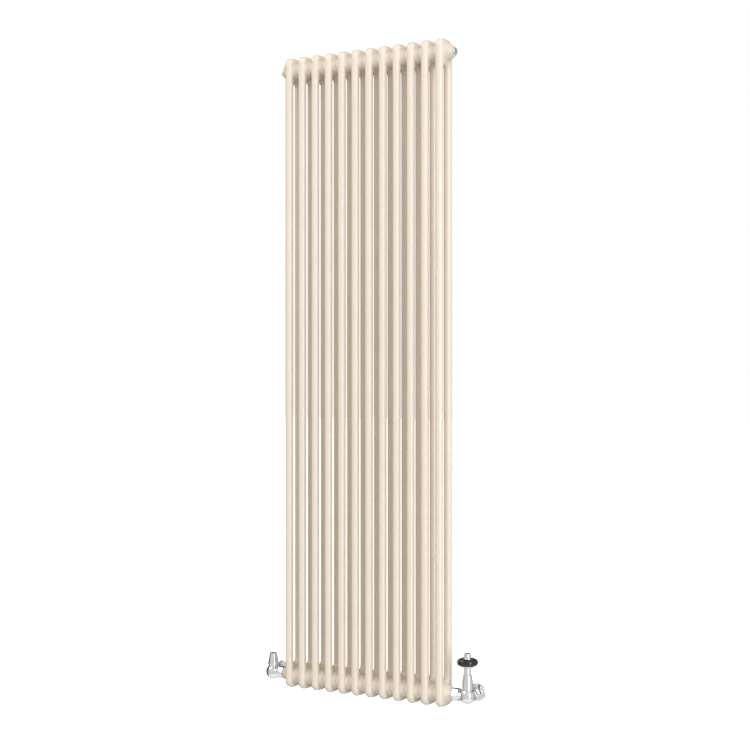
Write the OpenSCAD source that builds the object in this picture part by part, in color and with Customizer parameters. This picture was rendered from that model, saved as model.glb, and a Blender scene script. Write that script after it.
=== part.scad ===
// Two-column sectional radiator, wall hung, with a thermostatic corner valve on the right
// and a lockshield corner valve on the left.
// Frame: Y = 0 is the wall, -Y faces the room, Z = 0 is half way up, X = 0 is half way along.

/* [Radiator] */
// Number of sections side by side
sections = 12; // [3:1:12]
// Overall height of a section
height = 1800; // [600:50:2000]
// Distance from one section to the next
pitch = 45; // [42:1:50]
// Outer diameter of a column
tube_d = 21.6; // [20:0.2:24]
// Distance between the front and the rear column centres
column_gap = 46.4; // [42:0.2:50]
// Wall thickness of the columns
tube_wall = 1.5; // [1.2:0.1:2]
// Distance from the end of a section down to its hub centre
hub_drop = 36; // [34:0.5:38]
// Distance from the end of a section to the arch between its columns
arch_drop = 70; // [68:1:76]
// Distance from the wall to the middle of the radiator
wall_gap = 57; // [55:1:80]

/* [Valves] */
// Distance from the last section's centre to the valve's centre
valve_reach = 73.4; // [72:0.2:85]
// Radius of the round valve bodies
ball_r = 21; // [19:0.2:22]
// Outer diameter of the supply pipes
pipe_d = 15; // [15:1:16]
// How far a pipe runs on into the wall
pipe_stub = 20; // [10:5:60]
// Outer diameter of the hand wheel
wheel_d = 57; // [50:1:60]
// Outer diameter of the wall rosettes
rosette_d = 49.4; // [46:0.2:56]

/* [Brackets] */
// Distance from the middle to each bracket, in sections
bracket_step = 4; // [1:1:4]
// Diameter of the wall screw holes
screw_hole_d = 7; // [6:0.5:8]

/* [Hidden] */
$fn = 64;
eps = 0.05;               // air left where two solids only touch
long = 200;               // length of a cutter that has to pass right through
tube_r = tube_d / 2;
tube_in = tube_r - tube_wall;
half_gap = column_gap / 2;
half_h = height / 2;
hub_z = half_h - hub_drop;
crown = 2.4;                          // how much the middle of a head stands above its ends
bar_z = half_h - tube_r - crown;      // axis of the bar across the top of a head, at its ends
crown_r = (half_gap * half_gap + crown * crown) / (2 * crown);
notch_r = half_gap - tube_r;          // half the free width between the columns
arch_z = half_h - arch_drop - notch_r; // centre of the arch
weld_z = arch_z - 8;                  // where the columns meet the heads
web_half = tube_r - 1;                // half the thickness of a head between its columns
blend = 0.15;                         // step that keeps two round surfaces from just touching
end_x = (sections - 1) / 2 * pitch;   // centre of the last section
joint = pitch / 2;                    // from a section's centre to the joint with the next
gasket = 0.6;
boss_end = joint - gasket / 2;
boss_r = 23.5;
boss_end_r = 20;
hub_bore = 16;
water_r = 13;
// End fittings, along X from the section's centre
bush_end = 32;
plug_face = 37.8;
plug_bore = 8.4;
plug_r = 9.8;
tail_bore = 10.4;
// Valves, along X from the section's centre and along Z from the hub centre
valve_z = -hub_z;
seat_z = 3;
insert_r = 10;
neck_r = 12;
union_start = bush_end + 0.3;
union_len = 18;
nut_flats = 32;
thread_r = 12.6;                      // thread on the body that the union nut turns on
pipe_r = pipe_d / 2;
rosette_h = 9.6;
// Thermostatic valve, along Z from the hub centre
bonnet_base = 17.6;
bonnet_top = 75;
capsule_low = 30.3;
hub_low = 76.5;
wheel_z = 89.8;
wheel_rim = 9.8;                      // radius of the wheel's round rim
wheel_top = 9.2;                      // height of the wheel's flat top above its middle
wheel_under = 9.5;                    // depth of its flat underside below its middle
// Brackets
saddle_r = 22;
pad_r = 20.9;
plate_t = 3;
arm_half = 2;
arm_tip = 4;                          // how far the saddle reaches past the hub's centre

function two(i) = str(i < 10 ? "0" : "", i);
function section_name(i) = str("section_", two(i));
function section_x(i) = (i - (sections + 1) / 2) * pitch;

cream = "#e8dccb";
chrome = "#d6d9dc";
brass = "#c9a65a";
steel = "#9a9d9f";
black = "#222222";
rubber = "#3a3a3a";

// ---- placing ----

// Turns a shape drawn along Z so that it runs along X or along Y
module along_x() { rotate([0, 90, 0]) children(); }
module along_y() { rotate([-90, 0, 0]) children(); }
module at_hub(x, top = true) { translate([x, -wall_gap, top ? hub_z : -hub_z]) children(); }
// side is 1 for the right end and -1 for the left end, and the child points outwards
module at_end(side, top = true) {
    at_hub(side * end_x, top) mirror([side < 0 ? 1 : 0, 0, 0]) children();
}
module at_valve(side) {
    translate([side * (end_x + valve_reach), -wall_gap, valve_z])
        mirror([side < 0 ? 1 : 0, 0, 0]) children();
}

// A pipe or washer from z0 to z1
module ring(outer, inner, z0, z1) {
    translate([0, 0, z0]) difference() {
        cylinder(r = outer, h = z1 - z0);
        translate([0, 0, -1]) cylinder(r = inner, h = z1 - z0 + 2);
    }
}

// A hexagonal bar with its corners turned off at both ends
module hex_bar(across_flats, z0, z1, turned) {
    corner_r = across_flats / sqrt(3);
    intersection() {
        translate([0, 0, z0]) cylinder(r = corner_r, h = z1 - z0, $fn = 6);
        rotate_extrude() polygon([
            [0, z0], [corner_r - turned, z0], [corner_r + 0.1, z0 + turned * 0.7],
            [corner_r + 0.1, z1 - turned * 0.7], [corner_r - turned, z1], [0, z1]]);
    }
}

// ---- radiator ----

module boss_profile() {
    polygon([
        [0, -boss_end], [boss_end_r, -boss_end], [boss_end_r + 0.7, -boss_end + 3],
        [boss_r, -web_half - 2], [boss_r, web_half + 2],
        [boss_end_r + 0.7, boss_end - 3], [boss_end_r, boss_end], [0, boss_end]]);
}

// The bar across the top of a head is one short stretch of a large ring, so that it rises in the middle
module crowned_bar() {
    span = asin(half_gap / crown_r);
    translate([0, 0, bar_z + crown - crown_r]) rotate([0, -90, 0]) rotate([0, 0, -span])
        rotate_extrude(angle = 2 * span) translate([crown_r, 0]) circle(r = tube_r);
}

// The round rim of the arch is half a ring that runs from one column to the other
module arch_rim() {
    translate([0, 0, arch_z]) rotate([0, -90, 0]) rotate([0, 0, -90])
        rotate_extrude(angle = 180) translate([half_gap, 0]) circle(r = tube_r - blend);
}

module head_outside() {
    for (side = [-1, 1]) translate([0, side * half_gap, 0]) {
        translate([0, 0, weld_z + eps]) cylinder(r = tube_r, h = bar_z - weld_z - eps);
        translate([0, 0, bar_z]) sphere(r = tube_r + blend);
    }
    crowned_bar();
    arch_rim();
    difference() {
        translate([-web_half, -half_gap, arch_z])
            cube([2 * web_half, column_gap, bar_z - arch_z]);
        translate([0, 0, arch_z]) along_x() cylinder(r = half_gap - 1, h = long, center = true);
    }
    translate([0, 0, hub_z]) along_x() rotate_extrude() boss_profile();
}

module head_waterway() {
    room = web_half - 2;
    floor_z = arch_z + notch_r + 8;
    for (side = [-1, 1]) translate([0, side * half_gap, weld_z - 1])
        cylinder(r = tube_in, h = bar_z - weld_z + 1);
    translate([-room, -half_gap, floor_z]) cube([2 * room, column_gap, bar_z - floor_z + 6]);
    translate([0, 0, hub_z]) along_x() {
        cylinder(r = water_r, h = long, center = true);
        for (side = [-1, 1]) translate([0, 0, side > 0 ? web_half + 0.5 : -long])
            cylinder(r = hub_bore, h = long - (side > 0 ? 0 : web_half + 0.5));
    }
}

module head() {
    difference() {
        head_outside();
        head_waterway();
    }
}

// One section: two heads welded to a front and a rear column
module section(i) {
    color(cream) translate([section_x(i), -wall_gap, 0]) {
        head();
        mirror([0, 0, 1]) head();
        for (side = [-1, 1]) translate([0, side * half_gap, 0])
            ring(tube_r, tube_in, -weld_z, weld_z);
    }
}

module nipples(top) {
    reach = boss_end - web_half - 0.9;
    color(steel) for (i = [1:sections - 1]) at_hub(section_x(i) + joint, top)
        along_x() ring(hub_bore - 0.03, water_r, -reach, reach);
}

module hub_gaskets() {
    color(rubber) for (i = [1:sections - 1], top = [true, false])
        at_hub(section_x(i) + joint, top)
            along_x() ring(boss_end_r - 0.8, hub_bore + 0.4, -gasket / 2, gasket / 2);
}

// ---- end fittings ----

module bush_gaskets() {
    color(rubber) for (side = [-1, 1], top = [true, false]) at_end(side, top)
        along_x() ring(boss_end_r - 1.6, hub_bore + 0.3, boss_end, boss_end + 0.5);
}

// Stepped reducing bush, screwed into the last hub
module bush(side, top) {
    start = boss_end + 0.5;
    color(cream) at_end(side, top) along_x() difference() {
        rotate_extrude() polygon([
            [0, web_half + 2], [hub_bore - 0.03, web_half + 2], [hub_bore - 0.03, start],
            [19, start], [19.7, start + 0.7], [19.7, 25], [18.9, 25.8],
            [17.2, 25.8], [17.2, 28], [16.4, 28.8], [14.6, 28.8], [14.6, 31.2], [13.8, bush_end],
            [0, bush_end]]);
        cylinder(r = top ? plug_bore : tail_bore, h = long);
    }
}

// Outside of both plugs: a shank in the bush and a head with a turned edge
module plug_blank() {
    head = bush_end + 0.6;
    rotate_extrude() polygon([
        [0, 18], [plug_bore - 0.03, 18], [plug_bore - 0.03, head], [plug_r, head],
        [plug_r, plug_face - 0.9], [plug_r - 0.9, plug_face], [0, plug_face]]);
}

module blanking_plug() {
    color(chrome) at_end(-1, true) along_x() difference() {
        plug_blank();
        translate([0, 0, plug_face - 5]) cylinder(r = 4.6, h = 10, $fn = 6);
    }
}

module vent_plug() {
    color(chrome) at_end(1, true) along_x() difference() {
        plug_blank();
        cylinder(r = 1.5, h = long);
        translate([0, 0, 24]) cylinder(r = 3.05, h = long);
        translate([0, 0, plug_face - 2.5]) cylinder(r = 5.2, h = long);
    }
}

// Bleed screw: cone seat, threaded shank and a square for the key
module bleed_screw() {
    square_z = plug_face - 2.3;
    color(chrome) at_end(1, true) along_x() {
        translate([0, 0, 24.4]) cylinder(r1 = 1.6, r2 = 3, h = 1.4);
        translate([0, 0, 25.8]) cylinder(r = 3, h = square_z - 25.8);
        translate([-2.5, -2.5, square_z]) cube([5, 5, 2.1]);
    }
}

module plug_seals() {
    color(rubber) for (side = [-1, 1]) at_end(side, true) along_x()
        ring(plug_r - 0.1, plug_bore + 0.1, bush_end, bush_end + 0.6);
}

// ---- brackets ----

// Steel bracket: a wall plate and an arm with a saddle under the hub joint
module bracket(side, top) {
    low = -34;
    plate_half = 16;
    plate_top = 30;
    color(cream) translate([side * bracket_step * pitch, 0, top ? hub_z : -hub_z]) {
        difference() {
            translate([-plate_half, -plate_t, low])
                cube([2 * plate_half, plate_t, plate_top - low]);
            for (z = [0, 20]) translate([0, -long / 2, z]) along_y()
                cylinder(r = screw_hole_d / 2, h = long);
        }
        difference() {
            translate([-arm_half, -wall_gap - arm_tip, low])
                cube([2 * arm_half, wall_gap + arm_tip - plate_t + 0.5, 22]);
            translate([0, -wall_gap, 0]) along_x()
                cylinder(r = saddle_r, h = long, center = true);
            translate([0, -20, low - 1]) rotate([0, 90, 0])
                cylinder(r = 8, h = long, center = true);
        }
    }
}

// Plastic liner between the saddle and the painted hub
module bracket_pads() {
    color("#efefef") for (side = [-1, 1], top = [true, false])
        translate([side * bracket_step * pitch, -wall_gap, top ? hub_z : -hub_z])
            intersection() {
                along_x() ring(saddle_r - 0.03, pad_r, -arm_half - 1, arm_half + 1);
                translate([-10, -arm_tip, -30]) cube([20, 20 + arm_tip, 18]);
            }
}

// ---- parts that both valves share ----

// Ball body with a threaded neck to the radiator, one to the wall and one on top
module valve_body() {
    neck = valve_reach - union_start - 4.5;
    difference() {
        union() {
            sphere(r = ball_r);
            translate([-neck, 0, 0]) along_x() cylinder(r = thread_r, h = neck - 23);
            translate([-neck, 0, 0]) along_x() cylinder(r = 11.4, h = neck);
            along_y() cylinder(r = 10.8, h = 31);
            cylinder(r = neck_r, h = 18.5);
        }
        translate([0, 0, 10]) cylinder(r = insert_r, h = 20);
        translate([0, 0, seat_z]) cylinder(r = 9, h = 10);
        translate([0, 0, -7]) cylinder(r = 6, h = 20);
        translate([0, 0, -2]) along_y() cylinder(r = 5, h = 40);
        along_y() translate([0, 0, 15]) cylinder(r = pipe_r + 0.05, h = 40);
        translate([-21, 0, 6.8]) along_x() cylinder(r = 3.4, h = 21);
        translate([-neck - 1, 0, 0]) along_x() cylinder(r = 6.5, h = neck - 18.5);
    }
}

// Tail: screwed into the bush, with the collar that the union nut pulls on
module valve_tail(side) {
    collar_r = thread_r - 0.3;
    collar = union_start + 2.4;
    color(chrome) at_end(side, false) along_x() difference() {
        rotate_extrude() polygon([
            [0, 18], [tail_bore - 0.03, 18], [tail_bore - 0.03, bush_end - 0.5],
            [9.6, bush_end], [9.6, collar], [collar_r, collar], [collar_r, union_start + 4.4],
            [0, union_start + 4.4]]);
        cylinder(r = 6.5, h = long);
    }
}

module union_nut(side) {
    color(chrome) at_end(side, false) along_x() difference() {
        rotate([0, 0, 30]) hex_bar(nut_flats, union_start, union_start + union_len, 1.8);
        cylinder(r = 9.9, h = long);
        translate([0, 0, union_start + 2.3]) cylinder(r = thread_r + 0.05, h = long);
    }
}

module compression_nut() {
    color(chrome) along_y() difference() {
        hex_bar(26, 24, 40, 1.4);
        cylinder(r = pipe_r + 0.1, h = long);
        translate([0, 0, 23]) cylinder(r = 10.85, h = 13);
    }
}

// Brass ring squeezed between the body, the nut and the pipe
module olive() {
    color(brass) along_y() difference() {
        rotate_extrude() polygon([
            [0, 31.1], [7.9, 31.1], [9.2, 32.6], [9.2, 34.2], [7.9, 35.9], [0, 35.9]]);
        cylinder(r = pipe_r + 0.03, h = long);
    }
}

// Supply pipe, with a shallow groove that marks the face of the wall
module pipe() {
    color(chrome) along_y() difference() {
        ring(pipe_r, pipe_r - 0.9, 17, wall_gap + pipe_stub);
        ring(pipe_r + 1, pipe_r - 0.3, wall_gap - 0.6, wall_gap + 0.6);
    }
}

// Domed cover where the pipe enters the wall
module rosette() {
    r = rosette_d / 2;
    color(chrome) translate([0, wall_gap, 0]) rotate([90, 0, 0]) difference() {
        rotate_extrude() polygon([
            [0, 0.2], [r - 0.4, 0.2], [r, 1], [r, 4.2], [r - 0.5, 5.2], [r - 2.2, 6.3],
            [r - 5, 7.3], [r - 9, 8.2], [r - 13, 8.7], [10.4, 9], [10, rosette_h], [0, rosette_h]]);
        cylinder(r = pipe_r + 0.25, h = long);
        translate([0, 0, -1]) cylinder(r = r - 1, h = 4);
        translate([0, 0, 2.9]) cylinder(r1 = r - 1, r2 = 10, h = 4.6);
    }
}

// ---- thermostatic valve ----

module trv_bonnet() {
    color(chrome) difference() {
        rotate_extrude() polygon([
            [0, bonnet_base], [13.8, bonnet_base], [15.1, bonnet_base + 1.2],
            [15.6, bonnet_base + 3.6], [15.5, 26], [15.1, 31], [14.5, 36.5], [13.7, 42], [12.7, 47],
            [12, 51], [11.5, 54.6], [11, 56], [9.1, 57.2], [9.1, 70], [9.6, 70.8], [9.6, 73.6],
            [8.8, bonnet_top], [0, bonnet_top]]);
        translate([0, 0, bonnet_base - 1]) cylinder(r = neck_r + 0.05, h = 2.5);
        translate([0, 0, bonnet_base]) cylinder(r = 11.2, h = 12);
        cylinder(r = 8.5, h = 49);
        cylinder(r = 5.05, h = 90);
    }
}

module trv_insert() {
    color(brass) difference() {
        union() {
            translate([0, 0, 10.5]) cylinder(r = insert_r - 0.03, h = 8);
            hex_bar(18, 18.5, 26, 0.8);
        }
        cylinder(r = 2.2, h = 40);
        translate([0, 0, 12.5]) cylinder(r = 6, h = 20);
    }
}

module trv_gland() {
    color(brass) ring(6 - 0.03, 2.1, 23.2, 25.9);
}

module trv_pin() {
    color(steel) {
        translate([0, 0, seat_z + 3.2]) cylinder(r = 2, h = 24);
        translate([0, 0, 19]) cylinder(r = 4.6, h = 1.2);
    }
}

module valve_disc() {
    translate([0, 0, seat_z + 0.1]) cylinder(r = 7.6, h = 3.1);
}

// Return spring round the pin: a round wire wound by a formula
module trv_spring() {
    turns = 4;
    steps = 12;
    wire = 0.5;
    coil_r = 5;
    z0 = 12.5 + wire + 0.1;
    rise = 19 - 0.1 - wire - z0;
    sides = 6;
    rings = turns * steps;
    points = [for (k = [0:rings], s = [0:sides - 1])
        let (a = 360 * k / steps, b = 360 * s / sides, r = coil_r + wire * cos(b))
        [r * cos(a), r * sin(a), z0 + rise * k / rings + wire * sin(b)]];
    skin = [for (k = [0:rings - 1], s = [0:sides - 1])
        let (t = (s + 1) % sides)
        [k * sides + s, (k + 1) * sides + s, (k + 1) * sides + t, k * sides + t]];
    ends = [[for (s = [0:sides - 1]) s], [for (s = [sides - 1:-1:0]) rings * sides + s]];
    color(steel) polyhedron(points, concat(skin, ends));
}

module trv_capsule() {
    color(brass) rotate_extrude() polygon([
        [0, capsule_low], [3, capsule_low], [8, capsule_low + 2.8], [8, 45], [7.2, 46], [0, 46]]);
}

module trv_spindle() {
    color(steel) {
        translate([0, 0, 46.1]) cylinder(r = 5, h = 31);
        translate([0, 0, 77]) cylinder(r = 3.5, h = 24);
    }
}

// Chrome flange under the wheel, with the shank that the wheel sits on
module trv_hub() {
    flange_top = wheel_z - wheel_rim - 0.3;
    color(chrome) difference() {
        rotate_extrude() polygon([
            [0, hub_low], [14.4, hub_low], [14.9, hub_low + 0.4], [16.6, flange_top - 0.5],
            [16.3, flange_top], [6, flange_top],
            [6, wheel_z + wheel_top], [0, wheel_z + wheel_top]]);
        translate([0, 0, hub_low - 1]) cylinder(r = 5.05, h = 1.6);
        cylinder(r = 3.53, h = long);
    }
}

// Flat-topped wheel with a round rim
module trv_wheel() {
    ring_r = wheel_d / 2 - wheel_rim;
    color(black) translate([0, 0, wheel_z]) difference() {
        rotate_extrude() {
            translate([ring_r, 0]) circle(r = wheel_rim);
            translate([1, -wheel_under]) square([ring_r - 1, wheel_under + wheel_top]);
        }
        cylinder(r = 6.03, h = long, center = true);
    }
}

// Round cap on a wide washer, which hides the wheel's screw
module trv_cap() {
    base = wheel_z + wheel_top + 0.05;
    color(chrome) difference() {
        rotate_extrude() polygon([
            [0, base], [14.4, base], [15.4, base + 0.9], [18.4, base + 0.9], [18.7, base + 1.2],
            [18.4, base + 1.5], [10.2, base + 2], [9.2, base + 2.7], [9.2, base + 12.4],
            [8.8, base + 13.8], [7.4, base + 14.8], [4, base + 15.4], [0, base + 15.5]]);
        translate([0, 0, base - 1]) cylinder(r = 3.53, h = 101.3 - base + 1);
    }
}

// ---- lockshield valve ----

module lockshield_gland() {
    color(chrome) difference() {
        union() {
            translate([0, 0, 10.5]) cylinder(r = insert_r - 0.03, h = 15);
            hex_bar(14, 25.5, 28.5, 0.6);
        }
        cylinder(r = 4.1, h = 40);
    }
}

module lockshield_spindle() {
    color(brass) {
        translate([0, 0, seat_z + 3.3]) cylinder(r = 4, h = 24);
        translate([-2.8, -2.8, seat_z + 27.2]) cube([5.6, 5.6, 7]);
    }
}

module lockshield_cap() {
    low = 18.6;
    color(chrome) difference() {
        rotate_extrude() polygon([
            [0, low], [13.2, low], [14.8, low + 1], [15.8, low + 2.8], [15.9, low + 4.2],
            [15.1, 27], [14, 31.5], [13, 36.5], [12.1, 42], [11.3, 47.5], [10.8, 51.6],
            [10.2, 53.3], [9.1, 54.2], [6, 54.6], [0, 54.7]]);
        translate([0, 0, low - 1]) cylinder(r = insert_r + 0.3, h = 12);
        cylinder(r = 8.3, h = 44);
    }
}

// ---- nodes ----

for (i = [1:sections]) section(i);
nipples(true);  // top_nipples
nipples(false);  // bottom_nipples
hub_gaskets();
bush_gaskets();
bush(-1, true);  // bush_top_left
bush(1, true);  // bush_top_right
bush(-1, false);  // bush_bottom_left
bush(1, false);  // bush_bottom_right
blanking_plug();
vent_plug();
bleed_screw();
plug_seals();
bracket(-1, true);  // bracket_top_left
bracket(1, true);  // bracket_top_right
bracket(-1, false);  // bracket_bottom_left
bracket(1, false);  // bracket_bottom_right
bracket_pads();

color(chrome) at_valve(1) valve_body();  // trv_body
valve_tail(1);  // trv_tail
union_nut(1);  // trv_union_nut
at_valve(1) compression_nut();  // trv_compression_nut
at_valve(1) olive();  // trv_olive
at_valve(1) pipe();  // trv_pipe
at_valve(1) rosette();  // trv_rosette
at_valve(1) trv_bonnet();
at_valve(1) trv_insert();
at_valve(1) trv_gland();
at_valve(1) trv_pin();
color(rubber) at_valve(1) valve_disc();  // trv_disc
at_valve(1) trv_spring();
at_valve(1) trv_capsule();
at_valve(1) trv_spindle();
at_valve(1) trv_hub();
at_valve(1) trv_wheel();
at_valve(1) trv_cap();

color(chrome) at_valve(-1) valve_body();  // lockshield_body
valve_tail(-1);  // lockshield_tail
union_nut(-1);  // lockshield_union_nut
at_valve(-1) compression_nut();  // lockshield_compression_nut
at_valve(-1) olive();  // lockshield_olive
at_valve(-1) pipe();  // lockshield_pipe
at_valve(-1) rosette();  // lockshield_rosette
at_valve(-1) lockshield_gland();
at_valve(-1) lockshield_spindle();
color(rubber) at_valve(-1) valve_disc();  // lockshield_disc
at_valve(-1) lockshield_cap();
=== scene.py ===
"""A two-column sectional radiator with a thermostatic and a lockshield corner valve."""

import math

import bpy
import numpy as np
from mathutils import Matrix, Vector


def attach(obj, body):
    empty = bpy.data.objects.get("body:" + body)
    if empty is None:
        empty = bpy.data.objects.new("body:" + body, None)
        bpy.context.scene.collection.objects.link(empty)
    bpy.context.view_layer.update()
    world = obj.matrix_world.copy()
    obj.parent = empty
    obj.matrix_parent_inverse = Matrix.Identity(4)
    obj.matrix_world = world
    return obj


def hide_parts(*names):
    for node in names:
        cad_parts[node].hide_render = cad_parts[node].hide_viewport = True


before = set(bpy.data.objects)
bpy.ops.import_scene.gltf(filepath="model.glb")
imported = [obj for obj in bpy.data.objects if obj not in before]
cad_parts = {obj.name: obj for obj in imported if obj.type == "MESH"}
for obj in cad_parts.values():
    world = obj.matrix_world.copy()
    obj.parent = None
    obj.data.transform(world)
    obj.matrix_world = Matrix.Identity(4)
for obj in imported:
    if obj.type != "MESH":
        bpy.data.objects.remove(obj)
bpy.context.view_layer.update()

MM = 0.001  # a millimetre, in metres

# Sizes of the object in millimetres, as the CAD part has them
SECTIONS = 12
PITCH = 45.0
WALL_GAP = 57.0  # the wall to the middle plane of the columns
HALF_H = 900.0
TUBE_R = 10.8
HALF_GAP = 23.2  # the middle plane to a column's axis
CROWN = 2.4  # how far the head's top is arched
CORNER_R = 15.0
HUB_Z = 864.0
HUB_R = 20.0  # at the hub's end, which is narrower than its foot
CONE_SQUARE = (0.955, 0.296)  # square to the hub's cone: away from its axis, and along it
HUB_EDGE = 1.4
HUB_FILLET = 1.6
ARCH_Z = 817.6  # where the gap between the columns starts to close
WELD_Z = 809.6  # where the head ends on the columns
BOSS_END = 22.42
END_X = (SECTIONS - 1) / 2 * PITCH

# Along X from the middle of an end section
BUSH_END = 32.0
PLUG_FACE = 37.8
UNION_START = 32.3
UNION_END = 50.3
VALVE_REACH = 73.4  # to the valve's axis

# The valves, from the middle of the ball
BALL_R = 21.0
UNION_FLATS = 32.0
COMPRESSION_FLATS = 26.0
COMPRESSION_START = 24.0
COMPRESSION_END = 40.0
PIPE_R = 7.5
PIPE_END = WALL_GAP + 20  # inside the wall
HUB_LOW = 76.5  # the lower end of the hand wheel's hub
WHEEL_Z = 89.8
WHEEL_RIM = 9.8  # the radius of the rim's round section
WHEEL_RING = 18.7  # the radius of the ring that this section follows
WHEEL_TOP = 9.2  # the flat faces, from the wheel's middle
WHEEL_UNDER = 9.5
WHEEL_LOW = WHEEL_Z - WHEEL_RIM
WHEEL_FACE = WHEEL_Z + WHEEL_TOP
CAP_BASE = WHEEL_FACE + 0.05

# How the meshes are drawn
ROUND = 96  # points round a turned piece
FINE_ROUND = 128  # round a larger one
ARC_STEPS = 5
STRAIGHT = 1e-4  # a corner that turns less than this many radians isn't one
EDGE_SHARE = 0.48  # the most of an edge that one fillet may take
SECTION_GRID = 1.25
BODY_GRID = 0.6
NUT_GRID = 0.45
BEYOND = 60  # past any piece's end


def section_x(i):
    """Where the middle of section i is; the first is the left one."""
    return (i - (SECTIONS + 1) / 2) * PITCH


# ---- meshes ----


def new_mesh(name, points, faces, normals, material):
    """A mesh from points and faces in millimetres, with its shading normals."""
    mesh = bpy.data.meshes.new(name)
    corners = [tuple(p) for p in np.asarray(points) * MM]
    mesh.from_pydata(corners, [], [tuple(int(i) for i in f) for f in faces])
    mesh.materials.append(material)
    mesh.shade_smooth()
    mesh.normals_split_custom_set_from_vertices([tuple(n) for n in normals])
    return mesh


def place(name, mesh, at, body, node):
    """A piece that shows mesh at a point in millimetres, rides on body and stands for node."""
    piece = bpy.data.objects.new(name, mesh)
    bpy.context.scene.collection.objects.link(piece)
    piece.location = Vector(at) * MM
    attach(piece, body)
    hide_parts(node)


def rounded(profile, fillet, closed):
    """Points and outward normals of a profile of (radius, height[, fillet]), its corners arcs."""
    corners = [(*p, fillet) if len(p) == 2 else p for p in profile]
    count = len(corners)
    points, normals = [], []
    for i, (r, z, wanted) in enumerate(corners):
        here = np.array([r, z], float)
        if not closed and i in (0, count - 1):
            other = corners[1] if i == 0 else corners[-2]
            along = np.array(other[:2]) - here if i == 0 else here - np.array(other[:2])
            along /= np.hypot(*along)
            points.append(here)
            normals.append([along[1], -along[0]])
            continue
        before = np.array(corners[i - 1][:2], float)
        after = np.array(corners[(i + 1) % count][:2], float)
        a, b = here - before, after - here
        la, lb = np.hypot(*a), np.hypot(*b)
        u, v = a / la, b / lb
        turn = math.atan2(u[0] * v[1] - u[1] * v[0], float(u @ v))
        if abs(turn) < STRAIGHT:
            points.append(here)
            normals.append([u[1], -u[0]])
            continue
        half = math.tan(abs(turn) / 2)
        cut = min(wanted * half, EDGE_SHARE * la, EDGE_SHARE * lb)
        radius = cut / half
        inward = np.array([-u[1], u[0]]) * math.copysign(1, turn)
        for k in range(ARC_STEPS + 1):
            angle = abs(turn) * k / ARC_STEPS
            along, across = radius * math.sin(angle), radius * (1 - math.cos(angle))
            points.append(here - u * cut + u * along + inward * across)
            spin = turn * k / ARC_STEPS
            c, s = math.cos(spin), math.sin(spin)
            normals.append([u[0] * s + u[1] * c, -(u[0] * c - u[1] * s)])
    return np.array(points), np.array(normals)


def lathe(profile, fillet=0.4, closed=False, segments=ROUND):
    """Points, faces and normals of a profile turned round the Z axis."""
    p, n = rounded(profile, fillet, closed)
    angles = np.arange(segments) * 2 * math.pi / segments
    c, s = np.cos(angles), np.sin(angles)
    points, normals, rings = [], [], []
    for (r, z), (nr, nz) in zip(p, n):
        start = len(points)
        if r < 1e-6:
            points.append([0, 0, z])
            normals.append([0, 0, math.copysign(1, nz)])
            rings.append([start] * segments)
            continue
        points += np.stack([r * c, r * s, np.full(segments, z)], 1).tolist()
        normals += np.stack([nr * c, nr * s, np.full(segments, nz)], 1).tolist()
        rings.append(list(range(start, start + segments)))
    pairs = list(zip(rings, rings[1:]))
    if closed:
        pairs.append((rings[-1], rings[0]))
    faces = []
    for low, high in pairs:
        for k in range(segments):
            m = (k + 1) % segments
            quad = [low[k], low[m], high[m], high[k]]
            quad = [v for j, v in enumerate(quad) if v != quad[j - 1]]
            faces.append(quad)
    return np.array(points), faces, np.array(normals)


def surface_nets(field, low, high, step):
    """Points and faces of a net round field's zero, with a point in each cell that it crosses."""
    axes = [np.arange(a, b + step, step) for a, b in zip(low, high)]
    inside = field(*np.meshgrid(*axes, indexing="ij")) < 0
    shape = np.array(inside.shape) - 1
    total = sum(
        inside[i : shape[0] + i, j : shape[1] + j, k : shape[2] + k].astype(int)
        for i in (0, 1) for j in (0, 1) for k in (0, 1)
    )
    active = (total > 0) & (total < 8)
    index = np.full(active.shape, -1)
    index[active] = np.arange(active.sum())
    cells = np.argwhere(active)
    points = np.stack([axes[k][cells[:, k]] + step / 2 for k in range(3)], 1)
    faces = []
    for axis in range(3):
        u, v = (axis + 1) % 3, (axis + 2) % 3
        first = np.take(inside, range(shape[axis]), axis)
        second = np.take(inside, range(1, shape[axis] + 1), axis)
        for rising in (True, False):
            crossing = (first & ~second) if rising else (~first & second)
            edges = np.argwhere(crossing)
            eu, ev = edges[:, u], edges[:, v]
            edges = edges[(eu > 0) & (ev > 0) & (eu < shape[u]) & (ev < shape[v])]
            du, dv = np.eye(3, dtype=int)[u], np.eye(3, dtype=int)[v]
            around = ((1, 1), (0, 1), (0, 0), (1, 0))
            quad = [index[tuple((edges - a * du - b * dv).T)] for a, b in around]
            faces.append(np.stack(quad if rising else quad[::-1], 1))
    return points, np.concatenate(faces)


def slope(field, points, h=0.01):
    """How fast field grows along X, Y and Z at each point."""
    return np.stack([
        (field(*(points + h * e).T) - field(*(points - h * e).T)) / (2 * h) for e in np.eye(3)
    ], 1)


def settle(field, points, fixed_z=None, rounds=6, reach=0.5):
    """Moves points onto the surface of field; points in fixed_z keep their height."""
    for _ in range(rounds):
        g = slope(field, points)
        if fixed_z is not None:
            g[fixed_z, 2] = 0
        move = -field(*points.T) / np.maximum((g * g).sum(1), 1e-9)
        points = points + g * np.clip(move, -reach, reach)[:, None]
    return points


def unit(vectors):
    return vectors / np.maximum(np.linalg.norm(vectors, axis=1), 1e-9)[:, None]


def solid_of(field, low, high, step):
    """Points, faces and normals of a closed surface."""
    points, faces = surface_nets(field, np.array(low, float), np.array(high, float), step)
    points = even(points, faces)
    points = settle(field, points)
    return points, faces, unit(slope(field, points))


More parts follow.
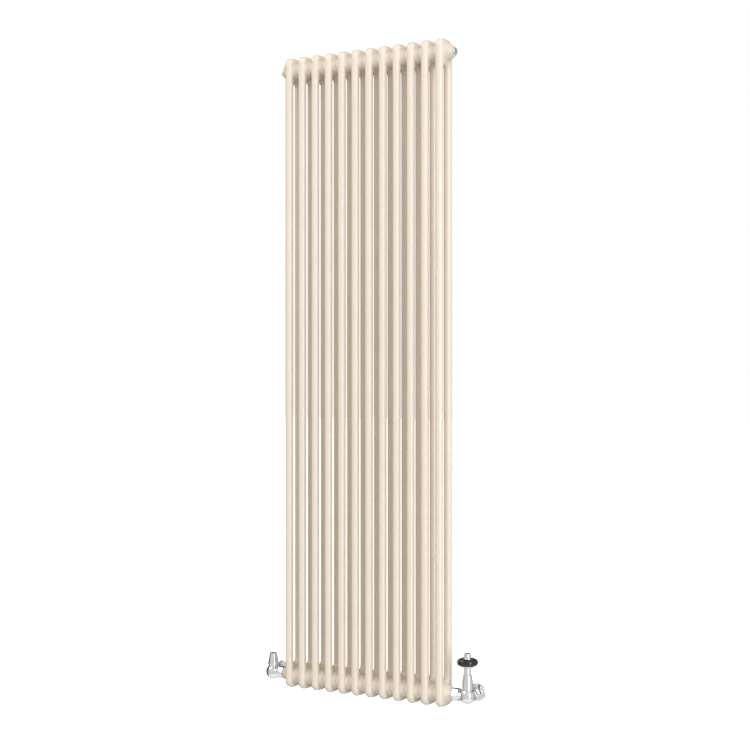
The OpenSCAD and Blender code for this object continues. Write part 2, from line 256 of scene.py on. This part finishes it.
def even(points, faces, rounds=3, keep=None):
    """Moves each point towards the middle of its neighbours, which evens out the grid."""
    a = faces.ravel()
    b = np.roll(faces, -1, axis=1).ravel()
    for _ in range(rounds):
        total = np.zeros_like(points)
        count = np.zeros(len(points))
        for s, t in ((a, b), (b, a)):
            np.add.at(total, s, points[t])
            np.add.at(count, s, 1)
        moved = points + 0.5 * (total / np.maximum(count, 1)[:, None] - points)
        if keep is not None:
            moved[keep] = points[keep]
        points = moved
    return points


def along_x(shape):
    points, faces, normals = shape
    return points[:, [2, 1, 0]] * [1, 1, -1], faces, normals[:, [2, 1, 0]] * [1, 1, -1]


def along_y(shape):
    points, faces, normals = shape
    return points[:, [0, 2, 1]] * [1, 1, -1], faces, normals[:, [0, 2, 1]] * [1, 1, -1]


def mirrored(shape):
    points, faces, normals = shape
    return points * [-1, 1, 1], [f[::-1] for f in faces], normals * [-1, 1, 1]


def rod(radius, reach, limit, fillet):
    """Distance to a round bar: radius from its axis, reach from its middle along it."""
    return rounded_and(radius - limit[0], np.abs(reach) - limit[1], fillet)


def rounded_and(a, b, radius):
    """Distance to the overlap of two shapes, with its edge rounded."""
    u, v = a + radius, b + radius
    return np.minimum(np.maximum(u, v), 0) + np.hypot(np.maximum(u, 0), np.maximum(v, 0)) - radius


def smooth_or(a, b, width):
    """Distance to two shapes joined with a fillet."""
    h = np.maximum(width - np.abs(a - b), 0) / width
    return np.minimum(a, b) - h * h * width / 4


# ---- materials ----

NOISE_LOW, NOISE_HIGH = 0.3, 0.7  # most of a noise texture's values lie between these


class Nodes:
    """A material's node tree, with short ways to add and join nodes."""

    def __init__(self, name):
        self.material = bpy.data.materials.new(name)
        self.material.use_nodes = True
        self.tree = self.material.node_tree
        self.shader = self.tree.nodes["Principled BSDF"]
        self.position = self.add("ShaderNodeTexCoord").outputs["Object"]

    def add(self, kind, **values):
        node = self.tree.nodes.new(kind)
        for key, value in values.items():
            if hasattr(node, key):
                setattr(node, key, value)
            else:
                node.inputs[key].default_value = value
        return node

    def join(self, output, node, name):
        self.tree.links.new(output, node.inputs[name])

    def noise(self, scale, detail=3.0, roughness=0.5, stretch=None):
        node = self.add("ShaderNodeTexNoise", Scale=scale, Detail=detail, Roughness=roughness)
        source = self.position
        if stretch:
            mapping = self.add("ShaderNodeMapping")
            mapping.inputs["Scale"].default_value = stretch
            self.join(source, mapping, "Vector")
            source = mapping.outputs["Vector"]
        self.join(source, node, "Vector")
        return node.outputs["Fac"]

    def ramp(self, factor, *stops):
        """A colour ramp between two (position, colour) stops."""
        node = self.add("ShaderNodeValToRGB")
        for element, (at, colour) in zip(node.color_ramp.elements, stops):
            element.position = at
            element.color = colour
        self.join(factor, node, "Fac")
        return node.outputs["Color"]

    def spread(self, factor, low, high):
        """The usual range of a noise spread over low to high."""
        limits = {"From Min": NOISE_LOW, "From Max": NOISE_HIGH, "To Min": low, "To Max": high}
        node = self.add("ShaderNodeMapRange", **limits)
        self.join(factor, node, "Value")
        return node.outputs["Result"]

    def bump(self, *layers):
        """Layers of (height, strength, distance), the finest last."""
        last = None
        for height, strength, distance in layers:
            node = self.add("ShaderNodeBump", Strength=strength, Distance=distance)
            self.join(height, node, "Height")
            if last is not None:
                self.join(last, node, "Normal")
            last = node.outputs["Normal"]
        self.join(last, self.shader, "Normal")


def shades(colour, dark, light):
    """Ramp stops from a darker to a lighter shade of colour, over the usual range of a noise."""
    return (NOISE_LOW, scaled(colour, dark)), (NOISE_HIGH, scaled(colour, light))


def scaled(colour, factor):
    return tuple(v * factor for v in colour[:3]) + (1.0,)


def powder_coat(name, colour):
    """Satin cream powder coat over steel: a faint orange peel and slightly uneven gloss."""
    m = Nodes(name)
    m.join(m.ramp(m.noise(9.0, 2.0), *shades(colour, 0.985, 1.01)), m.shader, "Base Color")
    m.join(m.spread(m.noise(60.0, 3.0), 0.36, 0.42), m.shader, "Roughness")
    m.shader.inputs["Specular IOR Level"].default_value = 0.5
    m.shader.inputs["Coat Weight"].default_value = 1.0
    m.shader.inputs["Coat Roughness"].default_value = 0.14
    m.bump((m.noise(260.0, 2.0), 0.05, 0.0006), (m.noise(900.0, 2.0), 0.04, 0.0002))
    return m.material


def plated(name, colour, low, high):
    """Bright plating: a mirror with faint polishing marks and a slight haze in places."""
    m = Nodes(name)
    m.shader.inputs["Metallic"].default_value = 1.0
    haze = m.noise(70.0, 3.0)
    m.join(m.ramp(haze, *shades(colour, 0.97, 1.0)), m.shader, "Base Color")
    m.join(m.spread(haze, low, high), m.shader, "Roughness")
    m.bump((m.noise(450.0, 2.0, stretch=(1, 1, 6)), 0.02, 0.0002))
    return m.material


def moulded(name, colour, low, high, coat):
    """Moulded plastic: smooth, with a faint flow texture."""
    m = Nodes(name)
    flow = m.noise(120.0, 3.0)
    m.join(m.ramp(flow, *shades(colour, 0.9, 1.1)), m.shader, "Base Color")
    m.join(m.spread(flow, low, high), m.shader, "Roughness")
    m.shader.inputs["Coat Weight"].default_value = coat
    m.shader.inputs["Coat Roughness"].default_value = 0.08
    m.bump((m.noise(700.0, 2.0), 0.04, 0.0002))
    return m.material


CREAM = powder_coat("painted_steel", (0.802, 0.716, 0.603, 1))
CHROME = plated("chrome", (0.90, 0.905, 0.91, 1), 0.02, 0.05)
NICKEL = plated("nickel", (0.72, 0.74, 0.77, 1), 0.34, 0.42)
BRASS = plated("bare_brass", (0.72, 0.50, 0.22, 1), 0.2, 0.32)
STEEL = plated("bare_steel", (0.42, 0.42, 0.43, 1), 0.25, 0.4)
BLACK = moulded("black_wheel", (0.005, 0.005, 0.0055, 1), 0.16, 0.24, 0.5)
RUBBER = moulded("seal", (0.03, 0.03, 0.03, 1), 0.5, 0.65, 0.0)
LINER = moulded("bracket_liner", (0.75, 0.75, 0.74, 1), 0.4, 0.5, 0.0)


# ---- radiator sections ----


def section_field(x, y, z):
    """Distance to a section's upper half: two columns that run into one crowned, rounded head."""
    outer_half = HALF_GAP + TUBE_R
    crown_r = (HALF_GAP**2 + CROWN**2) / (2 * CROWN) + TUBE_R
    across = np.abs(y)
    top = np.hypot(y, z - (HALF_H - crown_r)) - crown_r
    outline = rounded_and(across - outer_half, top, CORNER_R)
    slot = np.hypot(y, np.maximum(z - ARCH_Z, 0)) - (HALF_GAP - TUBE_R)
    inset = np.maximum(outline + TUBE_R, TUBE_R - slot)
    plate = np.hypot(np.maximum(inset, 0), x) - TUBE_R
    # The hub: a low cone on each side, with a soft edge at its end and a fillet to the plate
    along, radius = np.abs(x), np.hypot(y, z - HUB_Z)
    cone = (radius - HUB_R) * CONE_SQUARE[0] + (along - BOSS_END) * CONE_SQUARE[1]
    hub = rounded_and(cone, along - BOSS_END, HUB_EDGE)
    return smooth_or(plate, hub, HUB_FILLET)


def section_mesh():
    """One whole section: the upper head, its mirror image and the columns between them."""
    step = SECTION_GRID
    wide, deep = BOSS_END + 2 * step, HALF_GAP + TUBE_R + 2 * step
    low, high = np.array([-wide, -deep, WELD_Z]), [wide, deep, HALF_H + 2]
    points, faces = surface_nets(section_field, low, high, step)
    # The lowest ring of points, where the columns start
    rim = points[:, 2] < WELD_Z + step * 0.75
    points = even(points, faces, keep=rim)
    points[rim, 2] = WELD_Z
    points = settle(section_field, points, rim)
    normals = unit(slope(section_field, points))
    count = len(points)
    a, b = faces.ravel(), np.roll(faces, -1, axis=1).ravel()
    used = set(zip(a.tolist(), b.tolist()))
    open_edges = [e for e in used if (e[1], e[0]) not in used]
    flip = np.array([1, 1, -1])
    columns = [(q, p, p + count, q + count) for p, q in sorted(open_edges)]
    all_faces = faces.tolist() + (faces[:, ::-1] + count).tolist() + columns
    both = np.concatenate([points, points * flip])
    return both, all_faces, np.concatenate([normals, normals * flip])


SECTION = new_mesh("section_01_painted", *section_mesh(), CREAM)
for i in range(1, SECTIONS + 1):
    node = f"section_{i:02d}"
    at = (section_x(i), -WALL_GAP, 0)
    place(f"{node}_painted", SECTION, at, "radiator", node)

# ---- fittings, each drawn for the right-hand side ----


def fitting(node, shape, material, side, origin, body="radiator"):
    """One piece for the CAD node, at (x from the middle, z) on the radiator's middle plane."""
    x, z = origin
    name = f"{node}_shown"
    mesh = new_mesh(name, *(shape if side > 0 else mirrored(shape)), material)
    place(name, mesh, (side * x, -WALL_GAP, z), body, node)


def bush_shape(bore):
    """Stepped end bush with three rings, and a groove after each of the first two."""
    return along_x(lathe([
        (bore, 11.8), (15.97, 11.8), (15.97, 22.7), (19, 22.7), (19.7, 23.4), (19.7, 25),
        (18.9, 25.8), (16.2, 25.6), (16.2, 26.2), (17.2, 26.6), (17.2, 28), (16.4, 28.8),
        (13.6, 28.6), (13.6, 29.2), (14.6, 29.6), (14.6, 31.2), (13.8, BUSH_END), (bore, BUSH_END),
    ], 0.25, closed=True))


VENT_PLUG = along_x(lathe([
    (1.5, 18), (8.37, 18), (8.37, BUSH_END + 0.6), (9.8, BUSH_END + 0.6), (9.8, PLUG_FACE - 0.9),
    (8.9, PLUG_FACE), (5.2, PLUG_FACE), (5.2, PLUG_FACE - 2.5), (3.05, PLUG_FACE - 2.5), (3.05, 24),
    (1.5, 24),
], 0.25, closed=True))


def hexagon(u, v, across, edge=0.5):
    """Distance to a six-sided bar with two flats at plus and minus v, its long edges rounded."""
    cosine, sine = 0.5, 0.866  # of 60 degrees
    flats = [abs(v), abs(sine * u + cosine * v), abs(sine * u - cosine * v)]
    a, b, c = (flat - across / 2 for flat in flats)
    return rounded_and(rounded_and(a, b, edge), c, edge)


def bored(shape, radius, along, bore, low, high):
    """Distance to shape with a bore cut out of it from low to high."""
    hole = np.maximum(radius - bore, np.maximum(low - along, along - high))
    return np.maximum(shape, -hole)


def nut(u, v, along, across, start, end, chamfer, bores):
    """Distance to a six-sided nut with turned ends and with bores of (radius, from, to)."""
    radius = np.hypot(u, v)
    corner = across / math.sqrt(3)
    inset = np.minimum(along - start, end - along)
    rise, length = 1.4, 1.72  # of the turned ends' cone, for one millimetre outwards
    cone = (radius - (corner - chamfer) - rise * inset) / length
    body = rounded_and(rounded_and(hexagon(u, v, across), cone, 0.4), -inset, 0.4)
    for bore in bores:
        body = bored(body, radius, along, *bore)
    return body


def union_nut_field(x, y, z):
    bores = [(9.9, 0, BEYOND), (12.65, UNION_START + 2.3, BEYOND)]
    return nut(y, z, x, UNION_FLATS, UNION_START, UNION_END, 1.8, bores)


def compression_nut_field(x, y, z):
    bores = [(PIPE_R + 0.1, 0, BEYOND), (10.85, 0, COMPRESSION_END - 4)]
    return nut(x, z, y, COMPRESSION_FLATS, COMPRESSION_START, COMPRESSION_END, 1.4, bores)


def body_field(x, y, z):
    """Distance to a valve body: a ball with necks to the radiator, to the wall and on top."""
    ball = np.sqrt(x * x + y * y + z * z) - BALL_R
    side, back, top = np.hypot(y, z), np.hypot(x, z), np.hypot(x, y)
    shape = smooth_or(ball, rod(side, x + 18.3, (11.4, 18.3), 0.4), 3)
    shape = smooth_or(shape, rod(back, y - 15.5, (10.8, 15.5), 0.4), 3)
    shape = smooth_or(shape, rod(top, z - 9.25, (12, 9.25), 0.4), 1.2)
    shape = np.minimum(shape, rod(side, x + 29.8, (12.6, 6.8), 0.5))
    # The room for the insert, the waterways and the socket for the pipe
    rooms = [
        (top, z, 10.05, 9.9, 40), (top, z, 9, 3, 12), (top, z, 6, -7, 10),
        (back, y, 5, 0, 40), (back, y, PIPE_R + 0.1, 15, 40), (side, x, 6.5, -40, -18),
    ]
    for room in rooms:
        shape = bored(shape, *room)
    return shape


BODY = solid_of(body_field, (-39, -23, -23), (23, 34, 22), BODY_GRID)
UNION_NUT = solid_of(union_nut_field, (30, -20.5, -18), (53, 20.5, 18), NUT_GRID)
COMPRESSION_NUT = solid_of(compression_nut_field, (-17, 22, -15), (17, 42, 15), NUT_GRID)
PIPE = along_y(lathe([
    (PIPE_R - 0.9, 17), (PIPE_R, 17), (PIPE_R, WALL_GAP - 0.6), (PIPE_R - 0.3, WALL_GAP - 0.6),
    (PIPE_R - 0.3, WALL_GAP + 0.6), (PIPE_R, WALL_GAP + 0.6), (PIPE_R, PIPE_END),
    (PIPE_R - 0.9, PIPE_END),
], 0.12, closed=True))


def rosette_shape():
    """Domed cover with a hollow back, its face to the room."""
    points, faces, normals = lathe([
        (23.7, 0.2, 0.1), (24.3, 0.2, 0.1), (24.7, 1), (24.7, 4.2), (24.2, 5.2, 1.4),
        (22.5, 6.3, 6), (19.7, 7.3, 14), (15.7, 8.2, 20), (11.7, 8.7, 3), (10.5, 8.95), (10, 9.6),
        (7.75, 9.6, 0.1), (7.75, 7.6, 0.1), (10, 7.5), (23.7, 3),
    ], 0.35, closed=True, segments=FINE_ROUND)
    turned = [1, -1, 1]
    return points[:, [0, 2, 1]] * turned + [0, WALL_GAP, 0], faces, normals[:, [0, 2, 1]] * turned


ROSETTE = rosette_shape()
VALVES = {"trv": 1, "lockshield": -1}
PLUG_BORE = 8.4
TAIL_BORE = 10.4
TOP_HUB = (END_X, HUB_Z)
HUB = (END_X, -HUB_Z)
VALVE = (END_X + VALVE_REACH, -HUB_Z)
for name, side in VALVES.items():
    fitting(f"{name}_body", BODY, CHROME, side, VALVE)
    fitting(f"{name}_union_nut", UNION_NUT, CHROME, side, HUB)
    fitting(f"{name}_compression_nut", COMPRESSION_NUT, CHROME, side, VALVE)
    fitting(f"{name}_pipe", PIPE, CHROME, side, VALVE)
    fitting(f"{name}_rosette", ROSETTE, CHROME, side, VALVE)
for side, word in ((1, "right"), (-1, "left")):
    fitting(f"bush_top_{word}", bush_shape(PLUG_BORE), CREAM, side, TOP_HUB)
    fitting(f"bush_bottom_{word}", bush_shape(TAIL_BORE), CREAM, side, HUB)
fitting("vent_plug", VENT_PLUG, NICKEL, 1, TOP_HUB)

# ---- thermostatic head and lockshield cover ----

fitting("trv_bonnet", lathe([
    (12.05, 17.6, 0.1), (13.8, 17.6), (15.1, 18.8, 0.8), (15.6, 21.2, 3), (15.5, 26, 40),
    (15.1, 31, 60), (14.5, 36.5, 60), (13.7, 42, 60), (12.7, 47, 60), (12, 51, 30), (11.5, 54.6, 4),
    (11, 56, 0.8), (9.1, 57.2, 0.7), (9.1, 70), (9.6, 70.8), (9.6, 73.6), (8.8, 75),
    (5.05, 75, 0.1), (5.05, 49, 0.1), (8.5, 49), (8.5, 29.6), (11.2, 29.6), (11.2, 19.1),
    (12.05, 19.1),
], closed=True, segments=FINE_ROUND), CHROME, 1, VALVE)
fitting("trv_hub", lathe([
    (5.05, HUB_LOW, 0.1), (14.4, HUB_LOW, 0.3), (14.9, HUB_LOW + 0.4, 0.3),
    (16.6, WHEEL_LOW - 0.8, 0.2), (16.3, WHEEL_LOW - 0.3, 0.2), (6, WHEEL_LOW - 0.3, 0.1),
    (6, WHEEL_FACE, 0.1), (3.53, WHEEL_FACE, 0.1), (3.53, HUB_LOW + 0.6), (5.05, HUB_LOW + 0.6),
], 0.5, closed=True, segments=FINE_ROUND), CHROME, 1, VALVE, "trv_handwheel")


def wheel_shape():
    """Thick wheel with a round rim and two flat faces."""
    start, end = -math.asin(WHEEL_UNDER / WHEEL_RIM), math.asin(WHEEL_TOP / WHEEL_RIM)
    rim = [
        (WHEEL_RING + WHEEL_RIM * math.cos(a), WHEEL_Z + WHEEL_RIM * math.sin(a), 3)
        for a in np.linspace(start, end, 33)
    ]
    faces = [(6.03, WHEEL_Z - WHEEL_UNDER, 0.1), (6.03, WHEEL_FACE, 0.1)]
    return lathe([faces[0], *rim, faces[1]], 0.8, closed=True, segments=FINE_ROUND)


fitting("trv_wheel", wheel_shape(), BLACK, 1, VALVE, "trv_handwheel")
fitting("trv_cap", lathe([
    (0, 101.3), (3.53, 101.3, 0.1), (3.53, CAP_BASE, 0.1), (14.4, CAP_BASE, 0.2),
    (15.4, CAP_BASE + 0.9, 0.2), (18.4, CAP_BASE + 0.9, 0.2), (18.7, CAP_BASE + 1.2, 0.2),
    (18.4, CAP_BASE + 1.5, 0.2), (10.2, CAP_BASE + 2, 0.6), (9.2, CAP_BASE + 2.7, 0.5),
    (9.2, CAP_BASE + 12.4, 2), (8.8, CAP_BASE + 13.8, 2), (7.4, CAP_BASE + 14.8, 2),
    (4, CAP_BASE + 15.4, 8), (0, CAP_BASE + 15.5),
], segments=FINE_ROUND), CHROME, 1, VALVE, "trv_handwheel")
fitting("lockshield_cap", lathe([
    (0, 44), (8.3, 44), (8.3, 29.6), (10.3, 29.6), (10.3, 18.6, 0.1), (13.2, 18.6), (14.8, 19.6, 1),
    (15.8, 21.4, 2), (15.9, 22.8, 4), (15.1, 27, 40), (14, 31.5, 80), (13, 36.5, 80),
    (12.1, 42, 80), (11.3, 47.5, 60), (10.8, 51.6, 6), (10.2, 53.3, 1.4), (9.1, 54.2, 1.6),
    (6, 54.6, 10), (0, 54.7),
], segments=FINE_ROUND), CHROME, -1, VALVE, "lockshield_cover")

# ---- pieces that keep their CAD shape ----

FINISHES = {
    CREAM: "hub_gaskets bush_gaskets bracket_top_left bracket_top_right "
    "bracket_bottom_left bracket_bottom_right",
    LINER: "bracket_pads plug_seals",
    NICKEL: "blanking_plug bleed_screw",
    CHROME: "trv_tail lockshield_tail lockshield_gland",
    BRASS: "trv_olive trv_insert trv_gland trv_capsule lockshield_olive lockshield_spindle",
    STEEL: "top_nipples bottom_nipples trv_pin trv_spring trv_spindle",
    RUBBER: "trv_disc lockshield_disc",
}
for material, nodes in FINISHES.items():
    for node in nodes.split():
        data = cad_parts[node].data
        data.materials.clear()
        data.materials.append(material)

# ---- stage, lights and camera ----

FLOOR_SIZE = 60.0
FLOOR_Z = -1.12

# The studio is brighter in front of the radiator than behind it. Each pair is the brightness behind
# and in front: of what lights matt surfaces from below the horizon and from above it, and of the
# floor and the walls as bright metal mirrors them.
ROOM_AZIMUTH = 48.0  # degrees from straight ahead to the brightest direction, towards the right
LOW_GLOW = (0.08, 0.62)
HIGH_GLOW = (0.24, 1.02)
SKY_GLOW = 1.25
FLOOR_MIRROR = (0.7, 1.05)
ROOM_MIRROR = (0.08, 0.66)
DIM_TINT = (1.0, 0.85, 0.7)  # the colour of the light from behind

floor_nodes = Nodes("studio_floor")
floor_nodes.shader.inputs["Base Color"].default_value = (0.93, 0.93, 0.93, 1)
floor_nodes.shader.inputs["Roughness"].default_value = 0.9
floor_nodes.shader.inputs["Emission Color"].default_value = (1, 1, 1, 1)
floor_nodes.shader.inputs["Emission Strength"].default_value = 0.6
half = FLOOR_SIZE / 2
floor_mesh = bpy.data.meshes.new("floor")
around = ((-half, -half), (half, -half), (half, half), (-half, half))
floor_mesh.from_pydata([(x, y, FLOOR_Z) for x, y in around], [], [(0, 1, 2, 3)])
floor_mesh.materials.append(floor_nodes.material)
floor = bpy.data.objects.new("floor", floor_mesh)
bpy.context.scene.collection.objects.link(floor)
floor.visible_diffuse = False
floor.visible_glossy = False

world = bpy.data.worlds.new("studio")
bpy.context.scene.world = world
world.use_nodes = True
wt = world.node_tree


def wire(output, node, name):
    wt.links.new(output, node.inputs[name])


def feed(node, name, value):
    """Gives an input a number, or joins an output to it."""
    if isinstance(value, float):
        node.inputs[name].default_value = value
    else:
        wire(value, node, name)


def fade(value, low, high, from_value, to_value):
    """value from low to high turned into from_value to to_value, as numbers or as outputs."""
    node = wt.nodes.new("ShaderNodeMapRange")
    limits = {"From Min": low, "From Max": high, "To Min": from_value, "To Max": to_value}
    for key, limit in limits.items():
        feed(node, key, limit)
    wire(value, node, "Value")
    return node.outputs["Result"]


def glow(strength, tint=None):
    """Light of one strength, white unless it has a tint."""
    node = wt.nodes.new("ShaderNodeBackground")
    node.inputs["Color"].default_value = (1, 1, 1, 1)
    if tint:
        wire(tint, node, "Color")
    feed(node, "Strength", strength)
    return node.outputs[0]


def either(factor, first, second):
    """first where factor is 0 and second where it is 1."""
    node = wt.nodes.new("ShaderNodeMixShader")
    wire(factor, node, "Fac")
    wt.links.new(first, node.inputs[1])
    wt.links.new(second, node.inputs[2])
    return node.outputs[0]


direction = wt.nodes.new("ShaderNodeTexCoord").outputs["Generated"]
towards = wt.nodes.new("ShaderNodeVectorMath")
towards.operation = "DOT_PRODUCT"
room_turn = math.radians(ROOM_AZIMUTH)
towards.inputs[1].default_value = (math.sin(room_turn), -math.cos(room_turn), 0)
wt.links.new(direction, towards.inputs[0])
front = towards.outputs["Value"]
parts = wt.nodes.new("ShaderNodeSeparateXYZ")
wt.links.new(direction, parts.inputs[0])
height = parts.outputs["Z"]
# What lights matt surfaces: it changes over a soft horizon, and brightens towards the sky
room = fade(height, 0.1, 1.0, HIGH_GLOW[1], SKY_GLOW)
below = fade(front, -0.6, 0.1, *LOW_GLOW)
above = fade(front, -0.6, 0.1, HIGH_GLOW[0], room)
soft = fade(height, -0.1, 0.1, below, above)
# What bright metal shows of the studio: the floor is seen steeply below, and the walls elsewhere
floor_seen = fade(front, -1.0, 1.0, *FLOOR_MIRROR)
walls_seen = fade(front, -0.65, 0.1, *ROOM_MIRROR)
seen_in_metal = fade(height, -0.65, -0.55, floor_seen, walls_seen)
warm = wt.nodes.new("ShaderNodeMix")
warm.data_type = "RGBA"
warm.inputs["A"].default_value = (*DIM_TINT, 1)
warm.inputs["B"].default_value = (1, 1, 1, 1)
wire(fade(front, -0.5, 0.5, 0.0, 1.0), warm, "Factor")
# The camera itself sees a white backdrop
ray = wt.nodes.new("ShaderNodeLightPath").outputs
lighting = either(ray["Is Glossy Ray"], glow(soft, warm.outputs["Result"]), glow(seen_in_metal))
wire(either(ray["Is Camera Ray"], lighting, glow(1.0)), wt.nodes["World Output"], "Surface")


def softbox(name, azimuth, elevation, distance, width, tall, watts):
    """A soft light that faces the radiator from azimuth degrees to the right of straight ahead."""
    data = bpy.data.lights.new(name, "AREA")
    data.shape = "RECTANGLE"
    data.size, data.size_y = width, tall
    data.energy = watts
    lamp = bpy.data.objects.new(name, data)
    bpy.context.scene.collection.objects.link(lamp)
    a, e = math.radians(azimuth), math.radians(elevation)
    aim = Vector((0, -WALL_GAP * MM, 0))
    reach = Vector((math.cos(e) * math.sin(a), -math.cos(e) * math.cos(a), math.sin(e)))
    lamp.location = aim + reach * distance
    lamp.rotation_euler = (-reach).to_track_quat("-Z", "Y").to_euler()
    lamp.visible_camera = False


softbox("key", azimuth=66, elevation=4, distance=4.0, width=1.0, tall=5.0, watts=80)
softbox("fill", azimuth=-50, elevation=42, distance=4.0, width=2.4, tall=2.4, watts=44)

CAMERA_AZIMUTH = 32.837
CAMERA_DISTANCE = 4342.16
CAMERA_Z = -6.0
camera_data = bpy.data.cameras.new("camera")
camera_data.lens = 74.84
camera_data.sensor_width = 36
camera_data.shift_x = 0.01122
camera_data.clip_end = 200
camera = bpy.data.objects.new("camera", camera_data)
bpy.context.scene.collection.objects.link(camera)
turn = math.radians(CAMERA_AZIMUTH)
camera.location = Vector((
    CAMERA_DISTANCE * math.sin(turn), -CAMERA_DISTANCE * math.cos(turn) - WALL_GAP, CAMERA_Z,
)) * MM
camera.rotation_euler = (math.pi / 2, 0, turn)
bpy.context.scene.camera = camera
bpy.context.scene.view_settings.view_transform = "Standard"
bpy.context.scene.cycles.max_bounces = 16
bpy.context.scene.cycles.diffuse_bounces = 8

bpy.context.view_layer.update()
